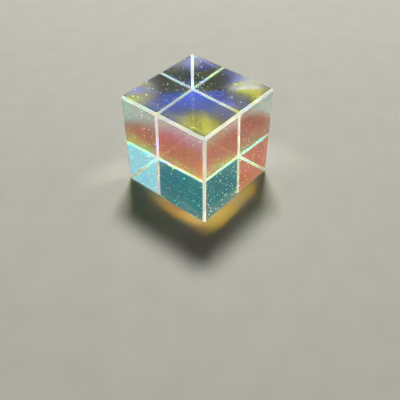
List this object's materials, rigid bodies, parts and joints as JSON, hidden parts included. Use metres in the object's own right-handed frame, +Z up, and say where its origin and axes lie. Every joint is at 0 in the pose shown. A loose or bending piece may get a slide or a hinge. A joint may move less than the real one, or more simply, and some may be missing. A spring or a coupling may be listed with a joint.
{
  "type": "beamsplitter cube",
  "caption": "Solid glass cube cemented from right-angle prisms, with crossed dichroic planes inside that split or combine red, green and blue light.",
  "frame": {"origin": "centre of the bottom face", "axes": "+Z up along the line where the coated planes cross, +X and +Y square to side faces, the front at -Y"},
  "size_m": [0.02, 0.02, 0.02],
  "materials": {
    "optical_glass": "polished faces, fine-ground white bevels",
    "blue_reflecting_coating": "dichroic, reflects blue and passes green and red",
    "red_reflecting_coating": "dichroic, reflects red and passes green and blue",
    "optical_cement": "clear cured cement"
  },
  "bodies": {
    "root": {"front_prism": "optical_glass", "left_prism": "optical_glass", "right_prism": "optical_glass", "back_prism": "optical_glass", "front_blue_coating": "blue_reflecting_coating", "back_blue_coating": "blue_reflecting_coating", "red_coating": "red_reflecting_coating", "front_blue_cement": "optical_cement", "back_blue_cement": "optical_cement", "red_cement": "optical_cement"}
  },
  "joints": []
}
